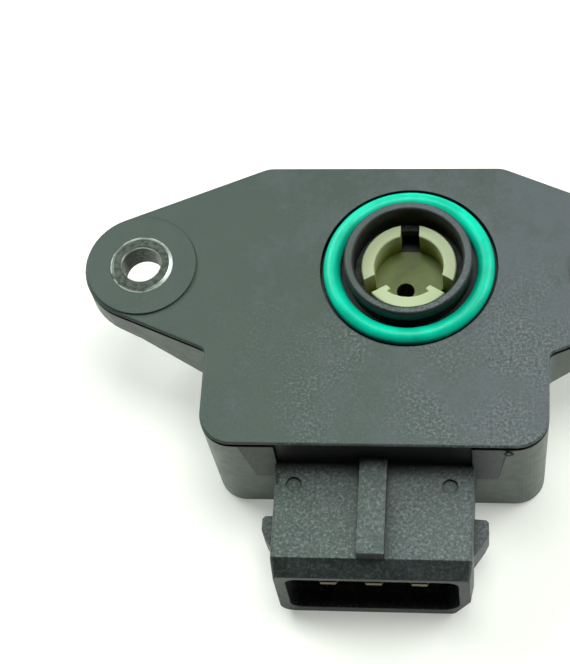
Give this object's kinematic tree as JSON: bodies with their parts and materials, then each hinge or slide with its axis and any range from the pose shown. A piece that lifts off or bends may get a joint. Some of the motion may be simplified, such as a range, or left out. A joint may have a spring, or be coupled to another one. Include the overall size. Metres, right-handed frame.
{
  "type": "throttle position sensor",
  "caption": "Flanged rotary sensor for a throttle body: a sealed plastic box with a slotted drive rotor, a green seal ring, steel-lined ear holes and a wired plug socket.",
  "frame": {"origin": "on the hub axis, where it crosses the flat mounting face round the ear pads", "axes": "+Z out of the mounting face along the hub axis, +X along the line of the two ear holes, +Y away from the plug socket"},
  "size_m": [0.067, 0.0472, 0.0195],
  "materials": {
    "moulding_black": "glass-filled nylon, finely textured",
    "housing_black": "glass-filled nylon, smooth satin",
    "insert_steel": "zinc-plated steel",
    "seal_green": "smooth green hydrogenated nitrile rubber",
    "dust_rubber": "dull black rubber",
    "slip_plastic": "white fluoropolymer",
    "rotor_nylon": "natural cream nylon, slightly translucent",
    "carrier_plastic": "dark brown engineering plastic",
    "spring_brass": "spring bronze, plain",
    "blade_brass": "brass with a thin tin plating",
    "board_ceramic": "white alumina ceramic",
    "track_film": "printed carbon film",
    "pad_metal": "printed silver-palladium film"
  },
  "bodies": {
    "sensor_body": {"front_moulding": "moulding_black", "rear_housing": "housing_black", "ear_bush_left": "insert_steel", "ear_bush_right": "insert_steel", "seal_ring": "seal_green", "dust_seal": "dust_rubber", "thrust_washer": "slip_plastic", "spring_washer": "insert_steel", "resistor_board": "board_ceramic", "resistor_track": "track_film", "collector_track": "pad_metal", "board_pads": "pad_metal", "blade_left": "blade_brass", "blade_middle": "blade_brass", "blade_right": "blade_brass", "contact_left": "spring_brass", "contact_middle": "spring_brass", "contact_right": "spring_brass"},
    "drive_rotor": {"rotor": "rotor_nylon", "brush_carrier": "carrier_plastic", "brush_outer": "spring_brass", "brush_inner": "spring_brass"}
  },
  "joints": [
    {"name": "rotor_turn", "type": "hinge", "parent": "sensor_body", "child": "drive_rotor", "pos_m": [0, 0, 0], "axis": [0, 0, 1], "range_deg": [0, 95]}
  ]
}
